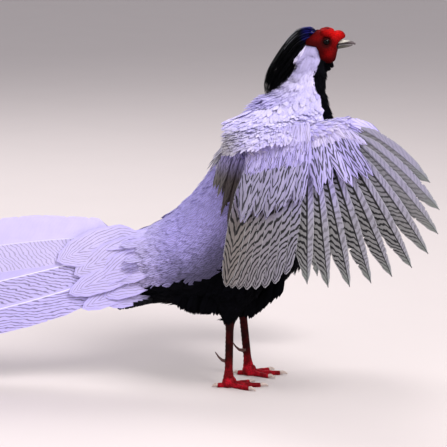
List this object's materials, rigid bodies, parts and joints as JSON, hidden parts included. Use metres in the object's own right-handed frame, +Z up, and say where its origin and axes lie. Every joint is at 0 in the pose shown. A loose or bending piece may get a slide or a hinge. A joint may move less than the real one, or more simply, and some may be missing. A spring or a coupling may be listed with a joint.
{
  "type": "silver pheasant",
  "caption": "Life-size standing cock silver pheasant, wings held open and dropped forward, with a drooping crest, red face wattles and a long vaulted tail.",
  "frame": {"origin": "on the floor, under the middle of the whole bird's box", "axes": "+Z up, +X the way the bird faces, -Y its right side"},
  "size_m": [1.0902, 0.33, 0.5413],
  "materials": {
    "body_plumage": "soft white and lavender plumage, black below",
    "head_skin": "velvety red papillae round the eye, short black and white feathers behind",
    "bill_horn": "satin horn",
    "eye_gloss": "wet gloss",
    "crest_plumes": "glossy blue-black plumes",
    "dark_plumage": "soft black plumage",
    "leg_skin": "waxy red scutes",
    "claw_horn": "pale horn",
    "flight_feathers": "vaned feathers, white with fine black lines"
  },
  "bodies": {
    "root": {"torso": "body_plumage", "neck": "body_plumage", "head": "head_skin", "bill_upper": "bill_horn", "bill_lower": "bill_horn", "eye_right": "eye_gloss", "eye_left": "eye_gloss", "crest": "crest_plumes", "thigh_right": "dark_plumage", "thigh_left": "dark_plumage", "shank_right": "leg_skin", "shank_left": "leg_skin", "foot_right": "leg_skin", "foot_left": "leg_skin", "claw_right_inner": "claw_horn", "claw_right_middle": "claw_horn", "claw_right_outer": "claw_horn", "claw_right_hind": "claw_horn", "claw_left_inner": "claw_horn", "claw_left_middle": "claw_horn", "claw_left_outer": "claw_horn", "claw_left_hind": "claw_horn", "spur_right": "claw_horn", "spur_left": "claw_horn", "wing_right": "flight_feathers", "wing_left": "flight_feathers", "tail": "flight_feathers"}
  },
  "joints": []
}
